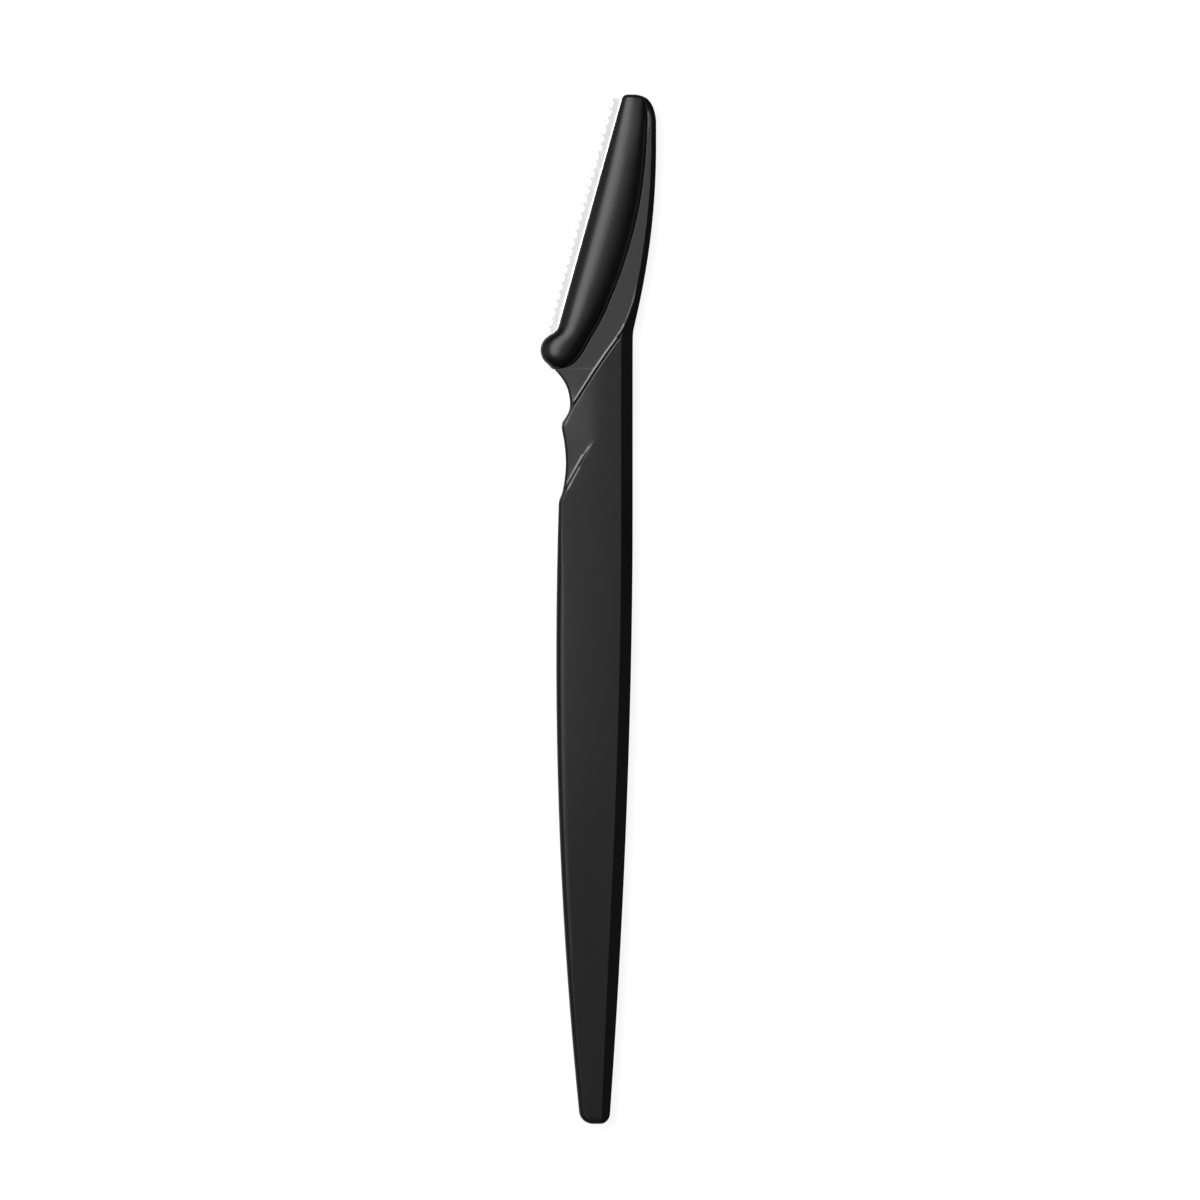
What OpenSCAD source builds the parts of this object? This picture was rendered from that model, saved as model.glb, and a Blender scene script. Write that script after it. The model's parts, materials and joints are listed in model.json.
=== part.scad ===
// Eyebrow razor with a fixed guarded blade, in millimetres.
// It lies on its back: X runs across it, Y along it towards the head, and Z up out of its face.
// The origin is under the middle of its outline, on the surface that it lies on.
// Plan sizes are taken from two lines: across from the straight part of the spine edge,
// and along from the butt end. The blade's own sizes are taken along and across its edge.

/* [Grip] */
// Greatest width of the grip, at its belly
grip_w = 11.15; // [10.6:0.05:12]
// Thickness of the grip
grip_t = 4.0; // [3.9:0.1:5]
// From the butt end to the foot of the lower finger rest
grip_len = 90.4; // [86:0.2:110]
// From the butt end to the belly
belly_at = 67.6; // [50:0.2:76]
// How far the blade side draws in from the belly to the butt
blade_side_taper = 3.5; // [2:0.1:3.9]
// How far the blade side draws in from the belly to the lower finger rest
blade_side_waist = 0.36; // [0:0.02:1]
// How far the spine side draws in towards the butt
spine_taper = 3.4; // [2:0.02:3.8]
// Power of the spine side's curve towards the butt
spine_power = 1.82; // [1.5:0.02:2.5]
// From the butt end to where the spine edge becomes straight
spine_straight_at = 87; // [80:1:88]
// Thickness at the butt end
butt_t = 3.2; // [2.4:0.1:4]
// Length over which the butt end gets thinner
butt_thin_len = 34; // [10:1:50]
// Corner radius of the butt on the blade side, seen from above
butt_r = 1.7; // [0.6:0.1:1.8]
// Corner radius of the butt on the spine side
butt_spine_r = 1.4; // [0.6:0.1:1.8]
// Rounding of the butt's upper and lower edges
butt_edge_r = 0.5; // [0.2:0.1:1]
// Fall of the front face from the spine to the blade side
face_fall = 0.3; // [0.05:0.05:0.5]
// From the butt end to where the front face starts to fall
face_fall_from = 28; // [10:1:48]
// Rounding along the blade side of the grip
grip_edge_r = 0.85; // [0.3:0.05:1.1]
// Flat land between the two bevels of the spine edge
spine_land = 1.44; // [1.2:0.02:1.6]
// Slope of those bevels, in degrees
spine_bevel = 37; // [30:1:50]

/* [Finger rests] */
// Length of the lower finger rest
lower_rest_len = 11.0; // [8:0.2:14]
// How deep the lower rest cuts into the outline
lower_rest_depth = 0.82; // [0.3:0.02:1.4]
// How far the point between the rests stands in from the grip's side
rest_point_in = 0.43; // [0:0.01:1]
// How deep the upper rest cuts into the outline
upper_rest_depth = 1.68; // [0.8:0.02:2.2]
// Fall of the lower rest's face from its inner end out to the point
rest_fall = 0.28; // [0.1:0.02:0.4]
// Further fall of that face towards its lower end
rest_dip = 0.26; // [0:0.02:0.4]
// Softening of the start of both falls
rest_soft = 1.2; // [0.4:0.1:1.5]
// Width of the steps that edge the rests
step_w = 0.9; // [0.5:0.05:1.4]
// Length of the lower step along the razor
lower_step_len = 9.3; // [6:0.1:10]
// How far the lower step runs in across the face
lower_step_in = 5.05; // [3:0.05:6]
// Length of the upper step along the razor
upper_step_len = 18.8; // [17:0.2:20]
// How far the upper step runs in across the face
upper_step_in = 10.8; // [10.4:0.1:11.2]
// Rounding along the outline in the finger rests
rest_edge_r = 0.4; // [0.15:0.05:0.8]

/* [Head] */
// Thickness of the head at its widest place
head_t = 2.3; // [1.8:0.1:3]
// From the blade side across to the head's widest place
head_w = 9.4; // [8:0.1:11]
// Flat land between the two bevels of the head's edge
head_land = 0.96; // [0.7:0.02:1.1]
// Fall of each face of the head, over its width, towards the blade
head_fall = 0.42; // [0.1:0.02:0.5]
// From the point between the rests to the foot of the head's lean
lean_from = 14.0; // [13.4:0.2:15]
// Length of the lean
lean_len = 27.0; // [25:0.2:30]
// How far the head leans out past the straight spine
head_lean = 3.42; // [3.2:0.02:3.7]
// Softening of the bend at the foot of the lean
lean_soft = 0.15; // [0.05:0.01:0.4]
// Width of the round corner at the head's tip
tip_w = 2.2; // [2.1:0.05:2.8]
// Length of the round corner at the head's tip
tip_h = 4.0; // [3.4:0.1:4.4]
// How far the head's own tip stays below the holder's top end
tip_low = 0.28; // [0.1:0.02:0.5]

/* [Blade holder] */
// Angle of the blade's edge to the handle
blade_tilt = 15.6; // [15:0.2:16]
// From the straight spine across to the holder's shoulder
shoulder_in = 10.91; // [10.65:0.01:11.05]
// From the point between the rests up to the holder's shoulder
shoulder_up = 14.6; // [14:0.1:15.2]
// Greatest width of the holder
holder_w = 6.89; // [6.5:0.01:7]
// Thickness of the holder at its crest
holder_t = 3.9; // [3:0.1:4]
// From the shoulder to where the holder starts to get thinner
holder_thin_from = 17; // [10:1:25]
// Thickness of the holder at the crest of its top end
holder_end_t = 2.1; // [2:0.1:3]
// From the shoulder to the holder's top end
holder_len = 35.82; // [35.2:0.02:36.2]
// From the shoulder to the end of the heel
heel_len = 5.96; // [5.4:0.02:6.2]
// How far the heel bulges past the blade side
heel_out = 1.65; // [1:0.05:2.4]
// Flat land on each side of the blade slot
slot_land = 0.45; // [0.3:0.05:0.8]
// Width of the ledge between the dome and its foot on the head
ledge_w = 0.5; // [0.2:0.05:0.7]
// Height of that ledge over the head
ledge_h = 0.18; // [0.05:0.01:0.25]
// Length over which the heel's crest falls to its end
heel_fall = 2.6; // [1.5:0.1:4]
// Length over which the top end's crest falls
top_fall = 0.7; // [0.4:0.1:3]

/* [Blade] */
// Thickness of the steel strip
blade_t = 0.25; // [0.15:0.01:0.4]
// How far the edge stands out of the holder
blade_out = 1.45; // [1.2:0.05:2]
// How deep the root sits in the holder
root_in = 2.6; // [2:0.1:3]
// Width of the ground bevel
grind_w = 0.65; // [0.3:0.05:0.9]
// Flat left at the very edge
edge_flat = 0.02; // [0.01:0.01:0.04]
// How far the blade runs below the shoulder, inside the heel
blade_low = 2.4; // [1.5:0.1:3]
// From the shoulder to the blade's top end
blade_high = 34.5; // [32:0.1:35]
// Rounding of the blade's corners
blade_corner_r = 0.6; // [0.3:0.05:0.8]
// Diameter of the anchor holes in the root
anchor_d = 1.3; // [0.8:0.1:1.6]
// Depth of the anchor holes' centres behind the holder's side
anchor_in = 1.5; // [1.2:0.1:1.8]
// Distance between anchor holes
anchor_pitch = 12.5; // [8:0.5:14]
// From the shoulder to the first anchor hole
anchor_from = 4.5; // [2:0.5:8]

/* [Edge guard] */
// Thickness of the guard's sheet
guard_t = 0.08; // [0.05:0.01:0.15]
// Space between the edge and the inside of the guard's fold
guard_past = 0.02; // [0.01:0.01:0.1]
// How deep the guard's leaves reach into the holder
guard_in = 0.85; // [0.4:0.05:1]
// Distance between ribs
rib_pitch = 1.32; // [1.1:0.02:1.6]
// Width of a rib
rib_w = 0.34; // [0.2:0.02:0.5]
// Width of the solid band between the holder and the slots
guard_band = 0.75; // [0.4:0.05:1]
// Corner radius of the slots
slot_r = 0.25; // [0.1:0.01:0.3]
// How far the guard runs below the shoulder
guard_low = 1.9; // [1:0.1:2.4]

/* [Tongue] */
// Depth of the handle's tongue in the holder
tongue_in = 2.0; // [1.4:0.1:2.2]
// Thickness of the tongue
tongue_t = 1.0; // [0.7:0.1:1.3]
// From the shoulder to the lower end of the tongue
tongue_low = 1.2; // [0.5:0.1:3]
// From the shoulder to the upper end of the tongue
tongue_high = 28.0; // [20:0.5:29]
// Diameter of the locking holes
lock_d = 1.1; // [0.7:0.1:1.2]
// From the shoulder to the first locking hole
lock_from = 5.0; // [3:0.5:8]
// Distance between locking holes
lock_pitch = 9.5; // [6:0.5:11]

/* [Hidden] */
$fn = 48;

// Clearance between the moulded holder and what it holds
mould_gap = 0.02;
// Clearance between the guard's leaves and the blade
sheet_gap = 0.01;
// Tiny rounding where the head meets the holder
seam_r = 0.06;
// How far the tongue runs back into the head
tongue_root = 0.9;
// Overrun of the cutting shapes
overrun = 1;
// Least distance between two lines of the skin
line_gap = 0.02;
// Anchor and locking holes in a row
holes = 3;

// Steps of the skins
round_steps = 4;
butt_steps = 6;
grip_rows = 18;
rest_row = 0.6;
head_row = 2.2;
neck_row = 0.62;
end_steps = 8;
dome_steps = 14;
ledge_steps = 4;
right_lines = 2;
tongue_steps = 12;
ridge_tries = 18;
// Stretch over which the lines of the skin close up from even spacing
fan_from = 74;
fan_len = 14;

// Places along the razor, from the butt end
point_at = grip_len + lower_rest_len;
lean_at = point_at + lean_from;
lean_top_at = lean_at + lean_len;
shoulder_at = point_at + shoulder_up;
lower_step_at = grip_len + step_w / 6;
upper_step_at = point_at + rest_edge_r / 4;
lower_step_end = lower_step_at + lower_step_len;

// Outline shares: first along a stretch, then across it
lower_rest_shares = [
    [0, 0], [0.06, 0.13], [0.125, 0.49], [0.19, 0.68], [0.32, 0.89], [0.455, 1],
    [0.58, 0.96], [0.714, 0.76], [0.84, 0.49], [0.946, 0.15], [1, 0]];
upper_rest_shares = [
    [0, 0], [0.07, 0.052], [0.13, 0.25], [0.2, 0.535], [0.3, 0.84], [0.4, 0.975],
    [0.5, 1], [0.62, 0.963], [0.74, 0.815], [0.87, 0.487], [1, 0]];
upper_step_shares = [
    [-0.6, -0.6], [0, 0], [0.15, 0.13], [0.28, 0.27], [0.44, 0.45], [0.6, 0.64],
    [0.72, 0.79], [0.82, 0.88], [1, 1], [1.45, 1.36]];
upper_profile_shares = [
    [0, 0], [0.1, 0.012], [0.38, 0.06], [0.5, 0.2], [0.66, 0.85], [0.8, 0.955], [1, 1]];
lower_profile_shares = [[0, 0], [0.3, 0.1], [0.5, 0.28], [0.68, 0.88], [1, 1]];
// Stretch over which the lower step fades out, as a share of its length
fade_share = 0.4;
// How much further apart its lines lie past its end
fan_share = 3;
// Stretch over which the spine's land narrows to the head's
land_len = 5;
heel_side_shares = [
    [0, 0], [0.12, 0.2], [0.26, 0.65], [0.39, 0.91], [0.5, 1], [0.64, 0.95],
    [0.78, 0.7], [0.86, 0.42], [0.93, -0.05], [1, -0.45]];
heel_foot_shares = [
    [0, 0.742], [0.2, 0.702], [0.42, 0.652], [0.64, 0.58], [0.71, 0.543], [0.8, 0.479],
    [0.885, 0.388], [0.94, 0.29], [1, 0.168]];
top_side_shares = [
    [0, 0], [0.962, 0], [0.974, 0.006], [0.981, 0.019], [0.9877, 0.054], [0.9915, 0.1], [1, 0.258]];
foot_shares = [
    [0, 0.742], [0.078, 0.848], [0.166, 0.915], [0.254, 0.965], [0.341, 0.993],
    [0.426, 1], [0.51, 0.99], [0.593, 0.957], [0.675, 0.903], [0.756, 0.829],
    [0.837, 0.74], [0.897, 0.665], [0.934, 0.606], [0.969, 0.534], [0.986, 0.487],
    [0.9956, 0.446], [0.9987, 0.4], [1, 0.35]];

// Limits that keep the narrow butt rows in order
round_share = 0.3;
ridge_share = 0.55;

// Fullness of the holder's dome: a higher power gives a flatter top and steeper sides
dome_power = 2.0;
// Where the dome's crest lies across it, below and at the thinner top end
crest_share = 0.58;
crest_end_share = 0.88;
// Power of the curve by which the crest falls towards the top end
thin_power = 1.5;
// Most of the holder's width that the ledge may take
ledge_share = 0.12;
// Angle from which the ledge's round starts
ledge_from = 22;

function lerp(a, b, t) = a + (b - a) * t;
function unit(t) = max(0, min(1, t));

// Cubic curve through the rows [place, value] of a table
function table_slope(rows, i) =
    let (lo = max(i - 1, 0), hi = min(i + 1, len(rows) - 1))
    (rows[hi][1] - rows[lo][1]) / (rows[hi][0] - rows[lo][0]);
function table_row(rows, place, i = 0) =
    i >= len(rows) - 2 || place <= rows[i + 1][0] ? i : table_row(rows, place, i + 1);
function curve(rows, place) =
    let (
        i = table_row(rows, place),
        span = rows[i + 1][0] - rows[i][0],
        t = unit((place - rows[i][0]) / span),
        a = rows[i][1],
        b = rows[i + 1][1],
        a_out = table_slope(rows, i) * span,
        b_in = table_slope(rows, i + 1) * span
    )
    a + a_out * t + (3 * (b - a) - 2 * a_out - b_in) * t ^ 2
      + (a_out + b_in - 2 * (b - a)) * t ^ 3;

// Fall of a rounded edge at a distance from it
function round_fall(distance, r) =
    distance >= r ? 0 : r - sqrt(max(0, r ^ 2 - (r - distance) ^ 2));

// Blade frame: along the edge from the shoulder, and across it towards the spine
function blade_to_plan(along, across) = [
    -shoulder_in + along * sin(blade_tilt) + across * cos(blade_tilt),
    shoulder_at + along * cos(blade_tilt) - across * sin(blade_tilt)];
function holder_side(along) = along < 0
    ? -heel_out * curve(heel_side_shares, -along / heel_len)
    : holder_w * curve(top_side_shares, along / holder_len);
function holder_foot(along) = along < 0
    ? holder_w * curve(heel_foot_shares, -along / heel_len)
    : holder_w * curve(foot_shares, along / holder_len);

// Rows of the holder, from the end of its heel to its top
heel_round = heel_len - heel_fall;
neck_rows_to = upper_step_len / 3;
tip_rows_from = holder_len - max(tip_h, 2 * top_fall) - neck_row;
holder_rows = concat(
    [for (i = [0 : end_steps]) -heel_len + heel_fall * (1 - cos(90 * i / end_steps))],
    [for (a = [-heel_round + neck_row : neck_row : neck_rows_to]) a],
    [for (a = [neck_rows_to + head_row : head_row : tip_rows_from]) a],
    [for (a = [tip_rows_from + neck_row : neck_row : holder_len - 2 * top_fall - neck_row]) a],
    [for (i = [end_steps : -1 : 0]) holder_len - 2 * top_fall * (1 - cos(90 * i / end_steps))]);
foot_line = [for (a = holder_rows) blade_to_plan(a, holder_foot(a))];
side_line = [for (a = holder_rows) blade_to_plan(a, holder_side(a))];
heel_end = foot_line[0];

// Overall outline, and the shift from the plan lines to the part's own frame
razor_len = max([for (p = concat(foot_line, side_line)) p.y]);
plan_left = min([for (p = side_line) p.x]);
plan_shift = [-(plan_left + head_lean) / 2, -razor_len / 2];
middle_z = grip_t / 2;

// Spine edge of the handle
lean_r = (lean_len ^ 2 + head_lean ^ 2) / (2 * head_lean);
function lean_arc(v) = head_lean - lean_r + sqrt(lean_r ^ 2 - min(0, v - lean_top_at) ^ 2);
function spine_edge(v) = v < lean_at - lean_len / 2
    ? -spine_taper * max(0, (spine_straight_at - v) / spine_straight_at) ^ spine_power
    : (lean_arc(v) + sqrt(lean_arc(v) ^ 2 + (v < lean_top_at ? lean_soft ^ 2 : 0))) / 2;
tip_centre = [head_lean - tip_w, razor_len - tip_low - tip_h];
function corner_in(v, r) = v < r ? r - sqrt(r ^ 2 - (r - v) ^ 2) : 0;
function right_edge(v) = v > tip_centre.y
    ? tip_centre.x + tip_w * sqrt(max(0, 1 - ((v - tip_centre.y) / tip_h) ^ 2))
    : spine_edge(v) - corner_in(v, butt_spine_r);

// Blade side of the handle, up to the holder's heel
rest_foot_x = -grip_w + blade_side_waist;
point_x = rest_foot_x + rest_point_in;
function left_edge(v) =
    v < belly_at
        ? -grip_w + blade_side_taper * ((belly_at - v) / belly_at) ^ 2 + corner_in(v, butt_r)
    : v < grip_len
        ? -grip_w + blade_side_waist * ((v - belly_at) / (grip_len - belly_at)) ^ 2
    : v < point_at
        ? let (t = (v - grip_len) / lower_rest_len)
          lerp(rest_foot_x, point_x, t) + lower_rest_depth * curve(lower_rest_shares, t)
        : let (t = (v - point_at) / (heel_end.y - point_at))
          lerp(point_x, heel_end.x, t) + upper_rest_depth * curve(upper_rest_shares, t);

// Distance in from the spine edge, which the butt's corner doesn't change
function spine_distance(x, v) =
    v > tip_centre.y
        ? tip_w * (1 - norm([max(0, x - tip_centre.x) / tip_w, (v - tip_centre.y) / tip_h]))
        : spine_edge(v) - x;

// Steps that edge the finger rests: where their middle lies, and how high they stand there
fade_x = rest_foot_x + lower_step_in;
function lower_x(v) =
    rest_foot_x + lower_step_in * min(1, (v - lower_step_at) / lower_step_len);
function upper_x(v) =
    point_x + upper_step_in * curve(upper_step_shares, (v - upper_step_at) / upper_step_len);
function rise(profile, x, middle) = curve(profile, unit((x - middle) / step_w + 1 / 2));
function smooth(t) = t ^ 2 * (3 - 2 * t);
function past_step(v) =
    smooth(unit((v - lower_step_end) / (fade_share * lower_step_len) + 1 / 2));
function lower_lines_w(v) = step_w * lerp(1, fan_share, past_step(v));

// Half thickness at a place on the front or the back, before the spine's bevel
function grip_half(v) = grip_t / 2
    - (grip_t - butt_t) / 2 * unit((butt_thin_len - v) / butt_thin_len) ^ 2
    - round_fall(v, butt_edge_r);
function front_fall(x, v) =
    face_fall * smooth(unit((v - face_fall_from) / (belly_at - face_fall_from)))
    * ((spine_edge(v) - x) / grip_w) ^ 2;
// A slope that starts at zero and bends in over the softening on each side of its start
function soft_start(d) =
    d > rest_soft ? d : max(0, d + rest_soft) ^ 2 / (4 * rest_soft);
function rest_sink(x, v) =
    rest_fall * soft_start(fade_x - x) / (fade_x - point_x)
    + rest_dip * soft_start(lower_step_end - v) / lower_step_len
    * smooth(unit((fade_x - x) / (2 * rest_soft) + 1 / 2));
function lower_rise(x, v) =
    rise(lower_profile_shares, x, lower_x(v)) * (1 - past_step(v));
function across_blade(x, v) =
    (x + shoulder_in) * cos(blade_tilt) - (v - shoulder_at) * sin(blade_tilt);
function head_half(across) = head_t / 2 - head_fall * (head_w - across) / head_w;
function level(x, v, front) =
    let (
        face = grip_half(v) - (front ? front_fall(x, v) : 0),
        lower = face - rest_sink(x, v) * (1 - lower_rise(x, v))
    )
    v < grip_len ? face : v < point_at - step_w ? lower
    : lerp(
        min(lower, head_half(across_blade(x, v))), lower,
        rise(upper_profile_shares, x, upper_x(v)));
function land(v) = lerp(spine_land, head_land, smooth(unit((v - lean_at) / land_len)));
function bevel(x, v) = land(v) / 2 + max(0, spine_distance(x, v)) * tan(spine_bevel);

// Ridge where a face meets the spine's bevel, found by halving
function ridge(v, front, lo, hi, tries = ridge_tries) =
    let (x = (lo + hi) / 2)
    tries == 0 ? x
    : level(x, v, front) < bevel(x, v) ? ridge(v, front, x, hi, tries - 1)
    : ridge(v, front, lo, x, tries - 1);

// Rounding along the blade side, smaller in the finger rests and least beside the holder
edge_places = [
    [0, grip_edge_r], [grip_len - lower_rest_len, grip_edge_r], [grip_len, rest_edge_r],
    [point_at, rest_edge_r], [heel_end.y - rest_edge_r, rest_edge_r], [heel_end.y, seam_r]];
function edge_round(v, width) = min(
    v < heel_end.y ? lookup(v, edge_places) : seam_r,
    round_share * width);

// Places of a step's lines, kept in order and apart where the step runs out past the face
function step_places(profile, middle, width) =
    [for (row = profile) middle + width * (row[0] - 1 / 2)];
function spread(places, lo, hi, gap) =
    let (last = len(places) - 1)
    [for (i = [0 : last]) max(lo + gap * i, min(hi - gap * (last - i), places[i]))];

// One line of the face, as the x places of its points from the blade side to the spine
function face_line(v, left, right, front) =
    let (
        r = edge_round(v, right - left),
        flat_from = left + r,
        top = max(ridge(v, front, left, right), lerp(left, right, ridge_share)),
        lines = len(upper_profile_shares) + len(lower_profile_shares),
        even = (top - flat_from) / (lines + right_lines + 1),
        gap = min(even, max(line_gap, lerp(even, line_gap, (v - fan_from) / fan_len))),
        upper = spread(
            step_places(upper_profile_shares, upper_x(v), step_w),
            flat_from + gap, top - gap * (len(lower_profile_shares) + right_lines + 1), gap),
        fan = lower_lines_w(v),
        lower = spread(
            step_places(
                lower_profile_shares, max(lower_x(v), upper_x(v) + (step_w + fan) / 2 + gap), fan),
            upper[len(upper) - 1] + gap, top - gap * (right_lines + 1), gap)
    )
    concat(
        [for (i = [0 : round_steps]) left + r * (1 - cos(90 * i / round_steps))],
        upper,
        lower,
        [for (i = [1 : right_lines]) lerp(lower[len(lower) - 1], top, i / (right_lines + 1))],
        [top, right]);

function skin_point(x, v, z) = [x + plan_shift.x, v + plan_shift.y, middle_z + z];
function handle_ring(v, left, right) =
    let (
        front = face_line(v, left, right, true),
        back = face_line(v, left, right, false),
        r = edge_round(v, right - left)
    )
    concat(
        [for (x = front)
            skin_point(x, v, min(level(x, v, true), bevel(x, v)) - round_fall(x - left, r))],
        [for (i = [len(back) - 1 : -1 : 0])
            let (x = back[i])
            skin_point(x, v, round_fall(x - left, r) - min(level(x, v, false), bevel(x, v)))]);

// Skin over rings of equal length, with a flat face on the first and the last
module skin(rings) {
    n = len(rings[0]);
    last = len(rings) - 1;
    polyhedron(
        points = [for (ring = rings) each ring],
        faces = concat(
            [[for (i = [0 : n - 1]) i]],
            [[for (i = [n - 1 : -1 : 0]) last * n + i]],
            [for (j = [0 : last - 1], i = [0 : n - 1])
                [j * n + i, (j + 1) * n + i, (j + 1) * n + (i + 1) % n]],
            [for (j = [0 : last - 1], i = [0 : n - 1])
                [j * n + i, (j + 1) * n + (i + 1) % n, j * n + (i + 1) % n]]));
}

rest_rows = ceil((heel_end.y - grip_len) / rest_row);
handle_places = concat(
    [for (i = [0 : butt_steps]) butt_r * (1 - cos(90 * i / butt_steps))],
    [for (i = [1 : grip_rows]) lerp(butt_r, grip_len, i / grip_rows)],
    [for (i = [1 : rest_rows - 1]) lerp(grip_len, heel_end.y, i / rest_rows)]);

module handle_body() {
    skin(concat(
        [for (v = handle_places) handle_ring(v, left_edge(v), right_edge(v))],
        [for (p = foot_line) if (right_edge(p.y) - p.x > 2 * seam_r)
            handle_ring(p.y, p.x, right_edge(p.y))]));
}

// Places a shape drawn in the blade frame: X along the edge, Y across it towards the spine
module in_blade_frame() {
    translate([plan_shift.x - shoulder_in, plan_shift.y + shoulder_at, middle_z])
        rotate([0, 0, 90 - blade_tilt]) mirror([0, 1, 0]) children();
}

// Tongue of the handle, and the room for it in the holder
module tongue_shape(gap) {
    rows = [for (i = [0 : tongue_steps])
        lerp(tongue_low - gap, tongue_high + gap, i / tongue_steps)];
    linear_extrude(height = tongue_t + 2 * gap, center = true) polygon(concat(
        [for (a = rows) [a, holder_foot(a) - tongue_in - gap]],
        [for (i = [tongue_steps : -1 : 0]) [rows[i], holder_foot(rows[i]) + tongue_root]]));
}
module lock_pins(gap) {
    for (i = [0 : holes - 1]) {
        along = lock_from + i * lock_pitch;
        translate([along, holder_foot(along) - tongue_in / 2, 0])
            cylinder(h = tongue_t + 2 * overrun, d = lock_d - 2 * gap, center = true);
    }
}
module anchor_pins(gap) {
    for (i = [0 : holes - 1])
        translate([anchor_from + i * anchor_pitch, anchor_in, 0])
            cylinder(h = blade_t + 2 * overrun, d = anchor_d - 2 * gap, center = true);
}

module handle() {
    color("#2b2b2d") difference() {
        union() {
            handle_body();
            in_blade_frame() tongue_shape(0);
        }
        in_blade_frame() lock_pins(0);
    }
}

// Half of a row of the holder, as places across it and heights over its middle plane:
// the dome from the blade side, then the ledge down to the foot
function end_rise(distance, fall) = sqrt(max(0, 1 - (1 - unit(distance / fall)) ^ 2));
function holder_rise(along) =
    min(end_rise(along + heel_len, heel_fall), end_rise(holder_len - along, top_fall));
function thinning(along) =
    unit((along - holder_thin_from) / (holder_len - holder_thin_from)) ^ thin_power;
function dome_height(along, share, side, foot, rise) =
    let (
        base = lerp(side, foot, share),
        crest = max(base, lerp(holder_t, holder_end_t, thinning(along)) / 2),
        top_at = lerp(crest_share, crest_end_share, thinning(along))
    )
    base + (crest - base) * rise * sqrt(max(0, 1 - (share < top_at
        ? 1 - share / top_at
        : (share - top_at) / (1 - top_at)) ^ dome_power));
// Points lie closer together at the sides, where the dome is steepest
dome_places = [for (i = [0 : dome_steps]) (1 - cos(180 * i / dome_steps)) / 2];
ledge_angles = [for (i = [1 : ledge_steps]) lerp(ledge_from, 90, i / ledge_steps)];
function holder_line(along) =
    let (
        side = holder_side(along),
        foot = holder_foot(along),
        ledge = min(ledge_w, ledge_share * (foot - side)),
        rise = holder_rise(along),
        step = ledge_h * rise
    )
    concat(
        [for (s = dome_places) [
            lerp(side, foot - ledge, s),
            dome_height(along, s, slot_land, head_half(foot) + step * cos(ledge_from), rise)]],
        [for (a = ledge_angles) [
            foot - ledge * (1 - sin(a)) / (1 - sin(ledge_from)),
            head_half(foot) + step * cos(a)]]);
function holder_ring(along) =
    let (line = holder_line(along))
    concat(
        [for (q = line) let (p = blade_to_plan(along, q[0])) skin_point(p.x, p.y, q[1])],
        [for (i = [len(line) - 1 : -1 : 0])
            let (q = line[i], p = blade_to_plan(along, q[0]))
            skin_point(p.x, p.y, -q[1])]);

module slot_box(low, high, out, deep, thick) {
    translate([-low - mould_gap, -out - mould_gap, -thick / 2 - mould_gap])
        cube([low + high + mould_gap, out + deep + 2 * mould_gap, thick + 2 * mould_gap]);
}

// Fold of the guard: two leaves and a half round nose, with the inside open
fold_r = blade_t / 2 + sheet_gap;
leaf_t = 2 * (fold_r + guard_t);
guard_out = blade_out + guard_past + guard_t;
nose_at = fold_r - blade_out - guard_past;

module blade_holder() {
    color("#111113") difference() {
        skin([for (a = holder_rows) holder_ring(a)]);
        in_blade_frame() difference() {
            union() {
                slot_box(blade_low, blade_high + mould_gap, blade_out, root_in, blade_t);
                slot_box(guard_low, blade_high + mould_gap, guard_out, guard_in, leaf_t);
            }
            anchor_pins(mould_gap);
        }
        in_blade_frame() difference() {
            tongue_shape(mould_gap);
            lock_pins(mould_gap);
        }
    }
}

// Strip in the blade frame with rounded outer corners, seen from above
module strip_plan(low, high, out, deep, r) {
    translate([-low, -out + r]) square([low + high, deep + out - r]);
    translate([-low + r, -out]) square([low + high - 2 * r, 2 * r]);
    for (x = [-low + r, high - r])
        translate([x, -out + r]) circle(r = r);
}

// Turns a section, drawn as across and up, to run along the edge
module along_edge(low, high) {
    translate([-low, 0, 0]) rotate([90, 0, 90]) linear_extrude(height = low + high) children();
}

module blade() {
    color("#dfe1e4") in_blade_frame() difference() {
        intersection() {
            along_edge(blade_low, blade_high) polygon([
                [root_in, -blade_t / 2], [root_in, blade_t / 2],
                [grind_w - blade_out, blade_t / 2], [-blade_out, edge_flat / 2],
                [-blade_out, -edge_flat / 2], [grind_w - blade_out, -blade_t / 2]]);
            linear_extrude(height = 2 * overrun, center = true)
                strip_plan(blade_low, blade_high, blade_out, root_in + overrun, blade_corner_r);
        }
        anchor_pins(0);
    }
}

module fold_section(r, deep) {
    translate([nose_at, 0]) circle(r = r);
    translate([nose_at, -r]) square([deep - nose_at, 2 * r]);
}
rib_count = floor((blade_high + guard_low - 2 * rib_w) / rib_pitch);
module guard_slot() {
    wide = rib_pitch - rib_w;
    inner = -guard_band;
    outer = -guard_out - overrun;
    linear_extrude(height = 2 * overrun, center = true) {
        translate([-wide / 2, outer]) square([wide, inner - slot_r - outer]);
        translate([-wide / 2 + slot_r, outer]) square([wide - 2 * slot_r, inner - outer]);
        for (x = [-wide / 2 + slot_r, wide / 2 - slot_r])
            translate([x, inner - slot_r]) circle(r = slot_r);
    }
}
module edge_guard() {
    color("#c9ccd0") in_blade_frame() difference() {
        intersection() {
            along_edge(guard_low, blade_high) difference() {
                fold_section(fold_r + guard_t, guard_in);
                fold_section(fold_r, guard_in + overrun);
            }
            linear_extrude(height = 2 * overrun, center = true)
                strip_plan(guard_low, blade_high, guard_out, guard_in + overrun, blade_corner_r);
        }
        for (i = [0 : rib_count - 1])
            translate([blade_high - rib_w - (i + 1 / 2) * rib_pitch, 0, 0]) guard_slot();
    }
}

handle();
blade_holder();
blade();
edge_guard();
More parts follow.
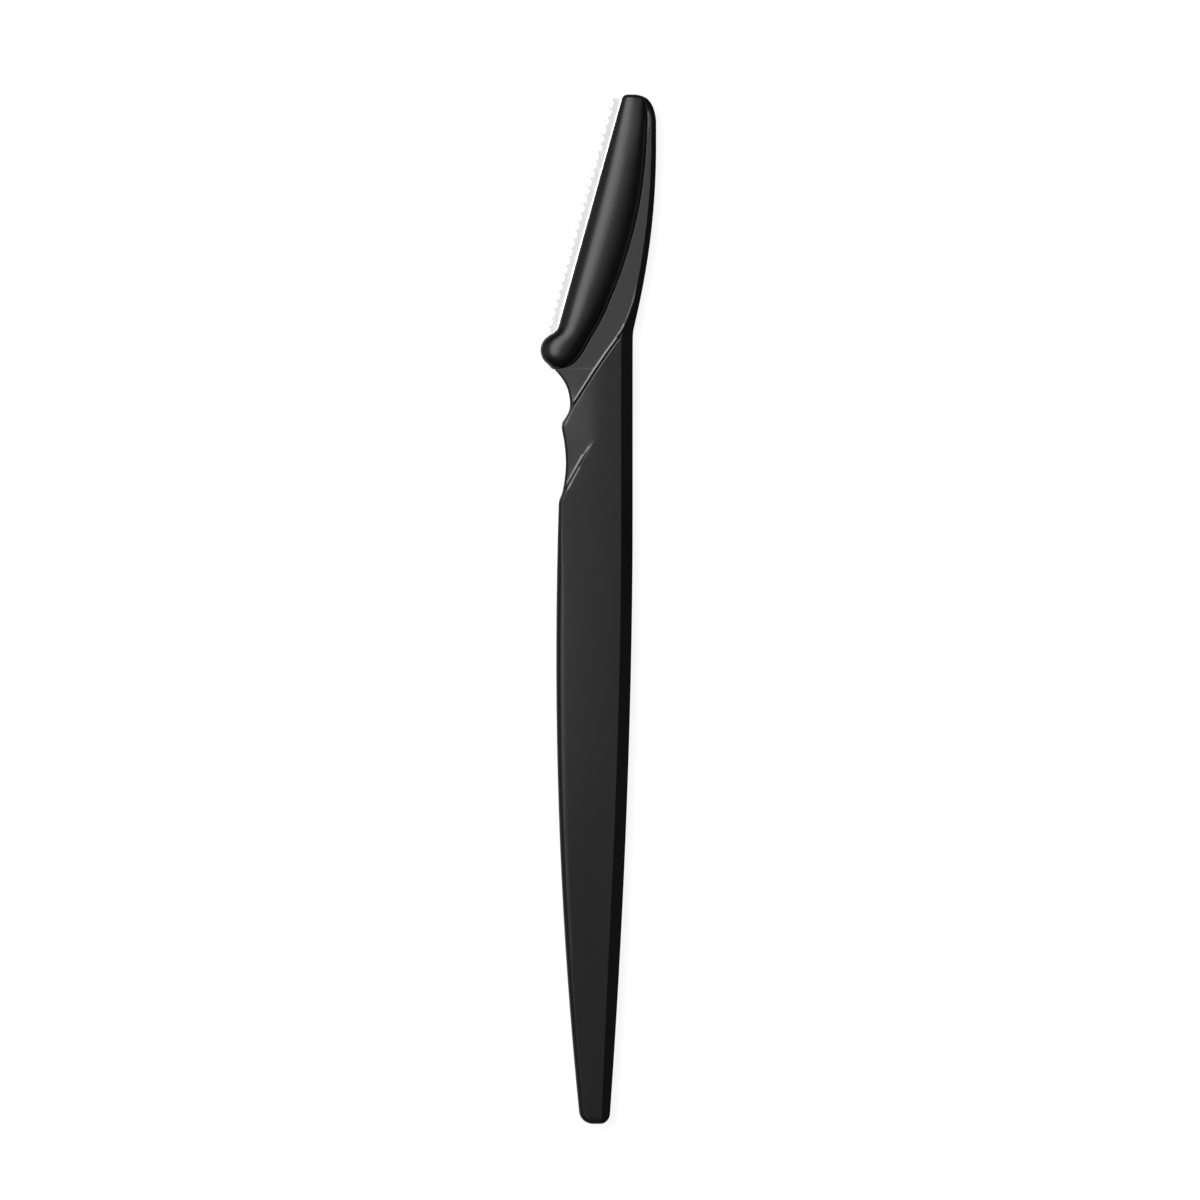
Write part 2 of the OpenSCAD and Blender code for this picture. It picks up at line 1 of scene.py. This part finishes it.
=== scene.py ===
# %% [markdown]
# # Eyebrow razor
#
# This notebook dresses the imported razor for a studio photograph. The solids come first and stay
# where they are; everything here is built round them, in metres and in the same frame. The razor
# lies on its flat back on the floor, Y runs from the butt to the tip of the blade, X points to
# the spine's side and Z points to the camera.

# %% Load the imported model
import json
from math import acos, atan2, cos, degrees, hypot, pi, radians, sin, tan

import bpy
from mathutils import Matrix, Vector

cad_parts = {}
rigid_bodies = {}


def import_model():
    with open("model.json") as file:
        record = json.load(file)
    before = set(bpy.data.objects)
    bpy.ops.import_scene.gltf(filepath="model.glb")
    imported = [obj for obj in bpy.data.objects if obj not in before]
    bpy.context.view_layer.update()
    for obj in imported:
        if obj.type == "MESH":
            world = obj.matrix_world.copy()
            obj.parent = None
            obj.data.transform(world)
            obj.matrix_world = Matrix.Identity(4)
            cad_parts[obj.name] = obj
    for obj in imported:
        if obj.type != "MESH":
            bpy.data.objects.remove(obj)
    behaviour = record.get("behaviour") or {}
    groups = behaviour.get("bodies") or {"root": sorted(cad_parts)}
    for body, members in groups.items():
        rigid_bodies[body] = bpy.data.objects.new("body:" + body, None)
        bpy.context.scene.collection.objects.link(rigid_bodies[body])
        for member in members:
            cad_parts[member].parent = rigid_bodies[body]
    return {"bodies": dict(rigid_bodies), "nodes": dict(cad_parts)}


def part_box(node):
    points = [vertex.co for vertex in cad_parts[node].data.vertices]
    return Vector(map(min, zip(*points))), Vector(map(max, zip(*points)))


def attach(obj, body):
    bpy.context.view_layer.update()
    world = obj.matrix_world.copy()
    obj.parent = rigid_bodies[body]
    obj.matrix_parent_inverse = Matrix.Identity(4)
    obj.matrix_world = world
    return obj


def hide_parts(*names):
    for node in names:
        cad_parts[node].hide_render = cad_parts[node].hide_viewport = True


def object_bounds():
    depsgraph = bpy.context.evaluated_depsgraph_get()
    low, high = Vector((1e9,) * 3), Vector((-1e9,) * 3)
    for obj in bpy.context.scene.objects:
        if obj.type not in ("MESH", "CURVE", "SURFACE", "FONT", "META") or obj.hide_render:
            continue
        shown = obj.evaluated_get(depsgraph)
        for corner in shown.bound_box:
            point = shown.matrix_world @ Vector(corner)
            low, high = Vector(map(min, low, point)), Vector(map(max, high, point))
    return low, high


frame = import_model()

# %% [markdown]
# ## The box of the solids
#
# The razor is small, so its sizes are written in millimetres and multiplied by `mm`. The box round the
# imported solids is measured before anything else is made.

# %% Keep the box of the solids
mm = 0.001
known = set(frame["nodes"].values()) | set(frame["bodies"].values())
for stray in [thing for thing in bpy.data.objects if thing not in known]:
    bpy.data.objects.remove(stray)
cad_low, cad_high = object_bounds()
print("solids, in mm:", [round(side / mm, 2) for side in cad_high - cad_low])

# %% [markdown]
# ## A first helper
#
# Every operator in Blender acts on what is selected, so each step starts from an empty selection
# and then picks one object.

# %% Selecting one object


def pick(thing):
    """Selects one object alone and makes it the active one."""
    if bpy.context.mode != "OBJECT":
        bpy.ops.object.mode_set(mode="OBJECT")
    bpy.ops.object.select_all(action="DESELECT")
    thing.select_set(True)
    bpy.context.view_layer.objects.active = thing


# %% [markdown]
# ## The studio: floor
#
# The razor was photographed from straight above on a white sheet. A floor that is only lit never
# comes out quite white, so part of its brightness is its own wherever the camera or a shiny
# surface sees it. The rest is lit, and that part still darkens under the razor, so a soft
# contact shadow is kept. Rays that carry the bounced light see a plain pale floor. It lies a hair
# below the razor's flat back, so that the two never share a plane, and it has no underside: seen
# from below, the razor's back shows.

# %% Floor
sheet_reach = 4.0
lit_share = 0.15
own_light = 0.90
bounce_grey = 0.75
sheet_drop = 0.02 * mm

bpy.ops.object.select_all(action="DESELECT")
bpy.ops.mesh.primitive_plane_add(size=2 * sheet_reach, location=(0, 0, -sheet_drop))
studio_floor = bpy.context.active_object
studio_floor.name = "studio_floor"

# %% [markdown]
# ## Node materials
#
# Each finish is a tree of nodes. Three short helpers make an empty tree, link two sockets and do
# sums, and the floor's own finish uses them first.

# %% Helpers for node materials


def blank_material(name):
    """A new material with an empty node tree, and its output node."""
    paint = bpy.data.materials.new(name)
    paint.use_nodes = True
    paint.node_tree.nodes.clear()
    return paint, paint.node_tree.nodes.new("ShaderNodeOutputMaterial")


def join(paint, out_socket, in_socket):
    """One link in a material's node tree."""
    paint.node_tree.links.new(out_socket, in_socket)


def maths(paint, operation, *values):
    """A Math node. Each value is a number or another node's socket."""
    node = paint.node_tree.nodes.new("ShaderNodeMath")
    node.operation = operation
    for socket, value in zip(node.inputs, values):
        if isinstance(value, (int, float)):
            socket.default_value = value
        else:
            join(paint, value, socket)
    return node.outputs["Value"]


# %% Floor material
floor_paint, floor_out = blank_material("white_sheet")
tree = floor_paint.node_tree.nodes
seen_by = tree.new("ShaderNodeLightPath")
lit = tree.new("ShaderNodeBsdfDiffuse")
lit.inputs["Color"].default_value = (lit_share, lit_share, lit_share, 1)
glow = tree.new("ShaderNodeEmission")
glow.inputs["Color"].default_value = (own_light, own_light, own_light, 1)
shown = tree.new("ShaderNodeAddShader")
bounce = tree.new("ShaderNodeBsdfDiffuse")
bounce.inputs["Color"].default_value = (bounce_grey, bounce_grey, bounce_grey, 1)
either = tree.new("ShaderNodeMixShader")
camera_ray, glossy_ray = seen_by.outputs["Is Camera Ray"], seen_by.outputs["Is Glossy Ray"]
seen = maths(floor_paint, "MAXIMUM", camera_ray, glossy_ray)
seen = maths(floor_paint, "MAXIMUM", seen, seen_by.outputs["Is Transmission Ray"])
join(floor_paint, lit.outputs[0], shown.inputs[0])
join(floor_paint, glow.outputs[0], shown.inputs[1])
join(floor_paint, seen, either.inputs["Fac"])
join(floor_paint, bounce.outputs[0], either.inputs[1])
join(floor_paint, shown.outputs[0], either.inputs[2])
one_sided = tree.new("ShaderNodeMixShader")
join(floor_paint, tree.new("ShaderNodeNewGeometry").outputs["Backfacing"], one_sided.inputs["Fac"])
join(floor_paint, either.outputs[0], one_sided.inputs[1])
join(floor_paint, tree.new("ShaderNodeBsdfTransparent").outputs[0], one_sided.inputs[2])
join(floor_paint, one_sided.outputs[0], floor_out.inputs["Surface"])
studio_floor.data.materials.append(floor_paint)

# %% [markdown]
# ## The studio: light
#
# Black plastic has almost no colour of its own. What the eye reads as its shape is the
# reflection of the lamps, so the lamps are placed by where the photograph shows bright and dark.
# One soft box stands to the left of straight above and makes the highlight along the left third
# of the glossy bar; a wide faint one overhead lifts the flats; the rest of the room is dim.

# %% Lamps


def soft_box(name, lean_left, lean_up, distance, width, height, radiance):
    """A rectangular lamp that faces the razor. The leans are degrees away from straight above."""
    left, up = radians(lean_left), radians(lean_up)
    place = Vector((-sin(left) * cos(up), sin(up), cos(left) * cos(up))) * distance
    bpy.ops.object.select_all(action="DESELECT")
    bpy.ops.object.light_add(type="AREA", location=place)
    lamp = bpy.context.active_object
    lamp.name = name
    lamp.data.shape = "RECTANGLE"
    lamp.data.size = width
    lamp.data.size_y = height
    lamp.data.energy = radiance * pi * width * height
    lamp.rotation_euler = (-up, -left, 0)
    lamp.visible_camera = False
    print(name, "at", [round(axis, 2) for axis in place], "watts", round(lamp.data.energy, 2))


soft_box("key_box", lean_left=20.5, lean_up=14, distance=1.5, width=0.62, height=0.95, radiance=9.5)
soft_box("top_box", lean_left=0, lean_up=4, distance=1.6, width=0.9, height=1.2, radiance=0.8)
soft_box("side_box", lean_left=62, lean_up=4, distance=1.6, width=1.0, height=1.4, radiance=0.8)

# %% Dim room
room_grey = 0.07

dim_room = bpy.data.worlds.new("dim_room")
dim_room.use_nodes = True
room_light = dim_room.node_tree.nodes["Background"]
room_light.inputs["Color"].default_value = (room_grey, room_grey, room_grey, 1)
bpy.context.scene.world = dim_room
bpy.context.scene.view_settings.view_transform = "Standard"

# %% [markdown]
# ## The studio: camera
#
# The photograph looks straight down with a long lens: both ends of the razor show no side wall.
# The frame is square and covers 175 mm at the height of the razor's face.

# %% Camera
frame_width = 175 * mm
frame_middle = Vector((0.245, 1.31, 2.0)) * mm
lens, sensor = 200, 36
near, far = 0.05, 20
camera_height = frame_width * lens / sensor

bpy.ops.object.select_all(action="DESELECT")
bpy.ops.object.camera_add(location=frame_middle + Vector((0, 0, camera_height)), rotation=(0, 0, 0))
camera = bpy.context.active_object
camera.name = "long_lens"
camera.data.lens = lens
camera.data.sensor_width = sensor
camera.data.clip_start = near
camera.data.clip_end = far
bpy.context.scene.camera = camera
print("camera height, in m:", round(camera.location.z, 3))

# %% [markdown]
# ## Plastics
#
# The handle and the bar are the same black moulding plastic. The handle's mould is spark
# eroded, which leaves a fine even grain and a soft sheen; the bar's mould is polished. Both get
# their depth from noise in object coordinates, scaled to millimetres first so that each number
# below can be read as waves per millimetre.

# %% Helpers for surface detail
noise_low, noise_high = 0.3, 0.7


def millimetre_coordinates(paint, stretch=(1, 1, 1), turn=0):
    """Object coordinates in millimetres, stretched along the axes and turned about Z."""
    nodes = paint.node_tree.nodes
    place = nodes.new("ShaderNodeTexCoord")
    scale = nodes.new("ShaderNodeMapping")
    scale.inputs["Scale"].default_value = [share / mm for share in stretch]
    scale.inputs["Rotation"].default_value = (0, 0, turn)
    join(paint, place.outputs["Object"], scale.inputs["Vector"])
    return scale.outputs["Vector"]


def noise(paint, place, waves, detail=2, rough=0.5):
    """A noise value between 0 and 1, with so many waves in a millimetre of the place."""
    node = paint.node_tree.nodes.new("ShaderNodeTexNoise")
    node.inputs["Scale"].default_value = waves
    node.inputs["Detail"].default_value = detail
    node.inputs["Roughness"].default_value = rough
    join(paint, place, node.inputs["Vector"])
    return node.outputs["Fac"]


def between(paint, value, low, high):
    """Stretches a noise value, most of which lies near its middle, to run from low to high."""
    node = paint.node_tree.nodes.new("ShaderNodeMapRange")
    join(paint, value, node.inputs["Value"])
    node.inputs["From Min"].default_value = noise_low
    node.inputs["From Max"].default_value = noise_high
    node.inputs["To Min"].default_value = low
    node.inputs["To Max"].default_value = high
    return node.outputs["Result"]


def colours(paint, value, *stops):
    """A colour ramp over a value, from pairs of a place and a linear colour."""
    node = paint.node_tree.nodes.new("ShaderNodeValToRGB")
    ramp = node.color_ramp.elements
    while len(ramp) < len(stops):
        ramp.new(1)
    for element, (place, colour) in zip(ramp, stops):
        element.position = place
        element.color = (*colour, 1)
    join(paint, value, node.inputs["Fac"])
    return node.outputs["Color"]


def bumps(paint, height, depth):
    """A bump of so many metres."""
    node = paint.node_tree.nodes.new("ShaderNodeBump")
    node.inputs["Strength"].default_value = 1
    node.inputs["Distance"].default_value = depth
    join(paint, height, node.inputs["Height"])
    return node.outputs["Normal"]


# %% Matte plastic of the handle
plastic_ior = 1.5
eroded_dark, eroded_pale = (0.0044, 0.0044, 0.0047), (0.0060, 0.0060, 0.0063)
eroded_smooth, eroded_rough, eroded_gloss = 0.29, 0.33, 0.16
grain_depth = 0.004 * mm
burnish_rough = 0.25

matte_plastic, matte_out = blank_material("matte_moulded_plastic")
surface = matte_plastic.node_tree.nodes.new("ShaderNodeBsdfPrincipled")
here = millimetre_coordinates(matte_plastic)
drawn_out = millimetre_coordinates(matte_plastic, stretch=(1, 0.25, 1))
flow = noise(matte_plastic, drawn_out, waves=0.12, detail=3)
grain = noise(matte_plastic, here, waves=5.5, rough=0.6)
tint = colours(matte_plastic, flow, (noise_low, eroded_dark), (noise_high, eroded_pale))
join(matte_plastic, tint, surface.inputs["Base Color"])
uneven = between(matte_plastic, flow, eroded_smooth, eroded_rough)
join(matte_plastic, uneven, surface.inputs["Roughness"])
join(matte_plastic, bumps(matte_plastic, grain, grain_depth), surface.inputs["Normal"])
surface.inputs["IOR"].default_value = plastic_ior
surface.inputs["Specular IOR Level"].default_value = eroded_gloss
worn = matte_plastic.node_tree.nodes.new("ShaderNodeAttribute")
worn.attribute_name = "burnish"
join(matte_plastic, worn.outputs["Fac"], surface.inputs["Coat Weight"])
surface.inputs["Coat Roughness"].default_value = burnish_rough
surface.inputs["Coat IOR"].default_value = plastic_ior
join(matte_plastic, surface.outputs["BSDF"], matte_out.inputs["Surface"])

# %% Polished plastic of the blade holder
polished_dark, polished_pale = (0.0026, 0.0026, 0.0028), (0.0034, 0.0034, 0.0036)
polished_smooth, polished_rough, polished_gloss = 0.28, 0.32, 0.26
ripple_depth = 0.006 * mm

gloss_plastic, gloss_out = blank_material("polished_moulded_plastic")
surface = gloss_plastic.node_tree.nodes.new("ShaderNodeBsdfPrincipled")
here = millimetre_coordinates(gloss_plastic)
ripple = noise(gloss_plastic, here, waves=0.35)
haze = noise(gloss_plastic, here, waves=4, detail=3, rough=0.6)
tint = colours(gloss_plastic, ripple, (noise_low, polished_dark), (noise_high, polished_pale))
join(gloss_plastic, tint, surface.inputs["Base Color"])
hazy = between(gloss_plastic, haze, polished_smooth, polished_rough)
join(gloss_plastic, hazy, surface.inputs["Roughness"])
join(gloss_plastic, bumps(gloss_plastic, ripple, ripple_depth), surface.inputs["Normal"])
surface.inputs["IOR"].default_value = plastic_ior
surface.inputs["Specular IOR Level"].default_value = polished_gloss
join(gloss_plastic, surface.outputs["BSDF"], gloss_out.inputs["Surface"])

# %% [markdown]
# ## Handle
#
# The handle's solid already has the right form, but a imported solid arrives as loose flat
# triangles, and flat triangles show as facets in a soft highlight. A copy is merged into one
# skin, its triangles are joined back into four-sided faces, and its shading is smoothed
# everywhere but along the real edges.

# %% Even shading


def shade(piece, sharp_from):
    """Smooth shading below an angle, where large faces keep their own direction."""
    pick(piece)
    bpy.ops.object.shade_smooth_by_angle(angle=radians(sharp_from))
    even = piece.modifiers.new("even", "WEIGHTED_NORMAL")
    even.mode = "FACE_AREA"
    even.keep_sharp = True
    bpy.ops.object.modifier_apply(modifier="even")


# %% A merged, smooth copy of a solid
weld = 0.002 * mm
flat_within, square_within = radians(4), radians(60)


def smooth_copy(node, name, sharp_from):
    """A copy of a CAD node as one welded skin, smooth except at edges sharper than the angle."""
    piece = bpy.data.objects.new(name, frame["nodes"][node].data.copy())
    bpy.context.scene.collection.objects.link(piece)
    pick(piece)
    bpy.ops.object.mode_set(mode="EDIT")
    bpy.ops.mesh.select_all(action="SELECT")
    bpy.ops.mesh.customdata_custom_splitnormals_clear()
    bpy.ops.mesh.remove_doubles(threshold=weld)
    bpy.ops.mesh.tris_convert_to_quads(face_threshold=flat_within, shape_threshold=square_within)
    bpy.ops.mesh.normals_make_consistent(inside=False)
    bpy.ops.object.mode_set(mode="OBJECT")
    shade(piece, sharp_from)
    piece.data.materials.clear()
    print(name, "has", len(piece.data.polygons), "faces")
    return piece


handle = smooth_copy("handle", "handle_moulding", sharp_from=28)
handle.data.materials.append(matte_plastic)

# %% [markdown]
# ## Burnish on the handle
#
# In the photograph the foot and the top of each slanted step shine in a fine line, and the thin
# head shines a little. The grain is thinnest there: it is worn off along edges and creases that
# a finger rubs. Each face gets a value between 0 and 1, and the matte plastic reads it as a thin
# gloss coat. A face belongs to a step if it leans by the slope that is rounded off at the step's
# foot or top, and if it is turned the way that the steps run. Leans and turns are in degrees.

# %% Burnish along the creases
creases_from, point_at, head_from = 17 * mm, 26.2 * mm, 29 * mm
upper_foot, lower_foot = 1.2 * mm, 1.78 * mm
upper_leans, lower_leans, turns = (10, 19), (8, 28), (2, 36)
flat_below = 6
foot_shine, top_shine, head_shine = 0.75, 0.5, 0.12

burnish = handle.data.attributes.new("burnish", "FLOAT", "FACE")
thickness_middle = (cad_low.z + cad_high.z) / 2
for face in handle.data.polygons:
    lean = degrees(acos(min(1, abs(face.normal.z))))
    turn = degrees(atan2(face.normal.y, -face.normal.x))
    upper = face.center.y > point_at
    low_down = abs(face.center.z - thickness_middle) < (upper_foot if upper else lower_foot)
    lean_low, lean_high = upper_leans if upper else lower_leans
    rounded_off = lean_low < lean < lean_high and turns[0] < turn < turns[1]
    if face.center.y > creases_from and rounded_off:
        burnish.data[face.index].value = foot_shine if low_down else top_shine
    elif face.center.y > head_from and low_down and lean < flat_below:
        burnish.data[face.index].value = head_shine
print("burnished faces:", sum(value.value > 0 for value in burnish.data))
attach(handle, "root")
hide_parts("handle")

# %% [markdown]
# ## Blade holder
#
# The bar is moulded over the handle's tongue and the blade's root, in a polished mould. Its
# solid has the right form too, so a welded copy of it is smoothed, further than the handle's,
# because a dome like this has no edge but where it meets the head.

# %% Blade holder
holder = smooth_copy("blade_holder", "holder_bar", sharp_from=40)
holder.data.materials.append(gloss_plastic)
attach(holder, "root")
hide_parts("blade_holder")

# %% [markdown]
# ## Steel
#
# The blade and the guard are rolled stainless strip. Rolling leaves fine lines along the strip,
# so the noise is stretched along the edge and drives the tint, the roughness and the bump. A
# turned copy of the coordinates follows the lean of the blade.

# %% Steel of the blade and the guard
blade_lean = radians(15.6)
line_depth = 0.0001 * mm


def steel(name, dark, light, smooth, rough, lines_across):
    """Rolled stainless strip between two tints and two roughnesses, with fine lines along it."""
    paint, out = blank_material(name)
    metal = paint.node_tree.nodes.new("ShaderNodeBsdfPrincipled")
    metal.inputs["Metallic"].default_value = 1
    along = millimetre_coordinates(paint, stretch=(lines_across, 0.25, lines_across), turn=blade_lean)
    lines = noise(paint, along, waves=1, detail=3, rough=0.6)
    stains = noise(paint, millimetre_coordinates(paint), waves=0.8, detail=3, rough=0.6)
    stained = maths(paint, "MULTIPLY_ADD", stains, 0.5, lines)
    tint = colours(paint, stained, (0.5, dark), (1, light))
    join(paint, tint, metal.inputs["Base Color"])
    join(paint, between(paint, lines, smooth, rough), metal.inputs["Roughness"])
    join(paint, bumps(paint, lines, line_depth), metal.inputs["Normal"])
    join(paint, metal.outputs["BSDF"], out.inputs["Surface"])
    return paint


ground_steel = steel(
    "ground_blade_steel", dark=(0.50, 0.50, 0.505), light=(0.60, 0.60, 0.605),
    smooth=0.5, rough=0.6, lines_across=14)
pressed_steel = steel(
    "pressed_guard_steel", dark=(0.72, 0.715, 0.72), light=(0.84, 0.835, 0.84),
    smooth=0.12, rough=0.17, lines_across=9)

# %% [markdown]
# ## Blade
#
# The blade starts as a thin bar. Its two outer corners are rounded with a bevel, then planes cut
# the wedge, as a grinder would: a wide flat grind from each side and a short steeper hone at the
# edge. Three holes in its root hold the moulded bar. It is drawn in millimetres in the blade's
# own frame, where Y runs along the edge, and then set down at the holder's shoulder.

# %% Where the blade sits
blade_high, blade_low = 34.5, 2.4
blade_out, root_in = 1.45, 2.6
blade_t = 0.25
steel_low, steel_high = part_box("blade")
shoulder = Vector((
    steel_high.x - (blade_high * sin(blade_lean) + root_in * cos(blade_lean)) * mm,
    steel_low.y + (blade_low * cos(blade_lean) + root_in * sin(blade_lean)) * mm,
    (steel_low.z + steel_high.z) / 2))
print("shoulder, in mm:", [round(axis / mm, 3) for axis in shoulder])

# %% Helpers for cut and ground metal
corner_cuts = 6
cut_within = 0.0001


def set_on_shoulder(piece):
    """Scales a piece drawn in millimetres, leans it and sets it down on the shoulder."""
    pick(piece)
    piece.scale = (mm, mm, mm)
    piece.rotation_euler = (0, 0, -blade_lean)
    piece.location = shoulder
    bpy.ops.object.transform_apply(location=True, rotation=True, scale=True)


def block(name, low, high):
    """A box between two corners, with its size in its mesh."""
    bpy.ops.object.select_all(action="DESELECT")
    middle = [(a + b) / 2 for a, b in zip(low, high)]
    bpy.ops.mesh.primitive_cube_add(size=1, location=middle, scale=[b - a for a, b in zip(low, high)])
    bpy.ops.object.transform_apply(location=True, rotation=True, scale=True)
    piece = bpy.context.active_object
    piece.name = name
    return piece


def select_where(piece, kind, test):
    """In edit mode, selects the vertices, or the upright edges' middles, that pass the test."""
    bpy.ops.mesh.select_mode(type=kind)
    bpy.ops.mesh.select_all(action="DESELECT")
    bpy.ops.object.mode_set(mode="OBJECT")
    mesh = piece.data
    if kind == "VERT":
        for vertex in mesh.vertices:
            vertex.select = test(vertex.co)
    else:
        for edge in mesh.edges:
            ends = [mesh.vertices[index].co for index in edge.vertices]
            run = ends[0] - ends[1]
            edge.select = abs(run.z) > hypot(run.x, run.y) and test((ends[0] + ends[1]) / 2)
    bpy.ops.object.mode_set(mode="EDIT")


def round_upright_edges(piece, radius, test):
    """Rounds the upright edges of a block that pass the test, as seen from above."""
    pick(piece)
    bpy.ops.object.mode_set(mode="EDIT")
    select_where(piece, "EDGE", test)
    bpy.ops.mesh.bevel(offset=radius, segments=corner_cuts, affect="EDGES")
    bpy.ops.object.mode_set(mode="OBJECT")


def cut_with(piece, cutter, operation):
    """Applies a boolean with a cutting block and removes the block."""
    pick(piece)
    boolean = piece.modifiers.new("cut", "BOOLEAN")
    boolean.operation = operation
    boolean.solver = "EXACT"
    boolean.object = cutter
    bpy.ops.object.modifier_apply(modifier="cut")
    bpy.data.objects.remove(cutter)


# %% Blade
corner_r = 0.6
grind_w, hone_w = 0.65, 0.12
edge_t, hone_t = 0.02, 0.09
bevels = ((hone_w, hone_t, grind_w, blade_t), (0, edge_t, hone_w, hone_t))

blade = block(
    "shaving_blade", (-blade_out, -blade_low, -blade_t / 2), (root_in, blade_high, blade_t / 2))
round_upright_edges(blade, corner_r, lambda place: place.x < 0)
bpy.ops.object.mode_set(mode="EDIT")
for side in (1, -1):
    for start_w, start_t, end_w, end_t in bevels:
        slope = Vector((end_w - start_w, 0, side * (end_t - start_t) / 2))
        bpy.ops.mesh.select_all(action="SELECT")
        bpy.ops.mesh.bisect(
            plane_co=(start_w - blade_out, 0, side * start_t / 2),
            plane_no=(-slope.z * side, 0, slope.x * side),
            use_fill=True, clear_outer=True, threshold=cut_within)
bpy.ops.object.mode_set(mode="OBJECT")

# %% Anchor holes, and the blade in its place
anchors, anchor_pitch = 3, 12.5
anchor_d, anchor_in, anchor_from = 1.3, 1.5, 4.5

for i in range(anchors):
    hole_at = (anchor_in, anchor_from + i * anchor_pitch, 0)
    bpy.ops.object.select_all(action="DESELECT")
    bpy.ops.mesh.primitive_cylinder_add(
        vertices=32, radius=anchor_d / 2, depth=4 * blade_t, location=hole_at)
    cut_with(blade, bpy.context.active_object, "DIFFERENCE")
set_on_shoulder(blade)
shade(blade, sharp_from=3)
blade.data.materials.append(ground_steel)
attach(blade, "root")
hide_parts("blade")
print("blade has", len(blade.data.polygons), "faces")

# %% [markdown]
# ## Edge guard
#
# The guard is a foil folded over the edge, with a slot between each two ribs. It is made the way
# it is pressed: half a circle gives the fold, its two ends are drawn out into leaves, each with
# a low shoulder beside the holder, and the line is swept along the edge and given the foil's
# thickness. One rounded punch, repeated along the edge, then cuts all slots at once, and a block
# with two round corners trims the ends.

# %% Folded foil
sheet_gap, guard_t, guard_past = 0.01, 0.08, 0.02
fold_r = blade_t / 2 + sheet_gap
guard_out = blade_out + guard_past + guard_t
nose_at = fold_r - blade_out - guard_past
guard_in, guard_low = 0.85, 1.9
shoulder_w, shoulder_rise = 0.2, 0.0118
overrun = 1
fold_end = nose_at - fold_r / 40
leaf = ((-shoulder_w - nose_at, 0), (shoulder_w, shoulder_rise), (guard_in + overrun, 0))

bpy.ops.object.select_all(action="DESELECT")
bpy.ops.mesh.primitive_circle_add(
    vertices=128, radius=fold_r, location=(nose_at, -guard_low - overrun, 0), rotation=(pi / 2, 0, 0))
guard = bpy.context.active_object
guard.name = "folded_guard"
bpy.ops.object.transform_apply(location=True, rotation=True, scale=True)
bpy.ops.object.mode_set(mode="EDIT")
bpy.ops.mesh.select_all(action="SELECT")
bpy.ops.mesh.bisect(plane_co=(nose_at, 0, 0), plane_no=(1, 0, 0), clear_outer=True, threshold=cut_within)
for side in (1, -1):
    select_where(guard, "VERT", lambda place: place.x > fold_end and place.z * side > fold_r / 2)
    for across, up in leaf:
        bpy.ops.mesh.extrude_region_move(TRANSFORM_OT_translate={"value": (across, 0, side * up)})
bpy.ops.mesh.select_all(action="SELECT")
sweep = guard_low + blade_high + 2 * overrun
bpy.ops.mesh.extrude_region_move(TRANSFORM_OT_translate={"value": (0, sweep, 0)})
bpy.ops.mesh.select_all(action="SELECT")
bpy.ops.mesh.normals_make_consistent(inside=False)
bpy.ops.object.mode_set(mode="OBJECT")
outward = sum(face.normal.z * face.center.z for face in guard.data.polygons) > 0
foil = guard.modifiers.new("foil", "SOLIDIFY")
foil.thickness = guard_t
foil.offset = 1 if outward else -1
foil.use_even_offset = True
bpy.ops.object.modifier_apply(modifier="foil")

# %% Slots between slanted ribs
rib_pitch, rib_w, slot_r = 1.32, 0.34, 0.25
rib_slant = radians(20)
guard_band = 0.95

punch = block("punch", (-guard_out - overrun, -(rib_pitch - rib_w) / 2, -overrun),
              (-guard_band, (rib_pitch - rib_w) / 2, overrun))
round_upright_edges(punch, slot_r, lambda place: place.x > -guard_out)
slots = int((blade_high + guard_low - 2 * rib_w) / rib_pitch)
bpy.ops.object.mode_set(mode="EDIT")
select_where(punch, "VERT", lambda place: place.x < -guard_out)
bpy.ops.transform.translate(value=(0, (guard_out - guard_band + overrun) * tan(rib_slant), 0))
bpy.ops.mesh.select_all(action="SELECT")
bpy.ops.transform.translate(value=(0, blade_high - rib_w - rib_pitch / 2, 0))
bpy.ops.object.mode_set(mode="OBJECT")
row = punch.modifiers.new("row", "ARRAY")
row.count = slots
row.use_relative_offset = False
row.use_constant_offset = True
row.constant_offset_displace = (0, -rib_pitch, 0)
bpy.ops.object.modifier_apply(modifier="row")
cut_with(guard, punch, "DIFFERENCE")

# %% Trimmed ends and a fine burr
trim = block("trim", (-guard_out, -guard_low, -overrun), (guard_in, blade_high, overrun))
round_upright_edges(trim, corner_r, lambda place: place.x < 0)
cut_with(guard, trim, "INTERSECT")

burr = guard.modifiers.new("burr", "BEVEL")
burr.width = guard_t / 6
burr.segments = 2
burr.limit_method = "ANGLE"
burr.angle_limit = radians(50)
bpy.ops.object.modifier_apply(modifier="burr")
set_on_shoulder(guard)
shade(guard, sharp_from=3)
guard.data.materials.append(pressed_steel)
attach(guard, "root")
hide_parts("edge_guard")
print("guard has", slots, "slots and", len(guard.data.polygons), "faces")
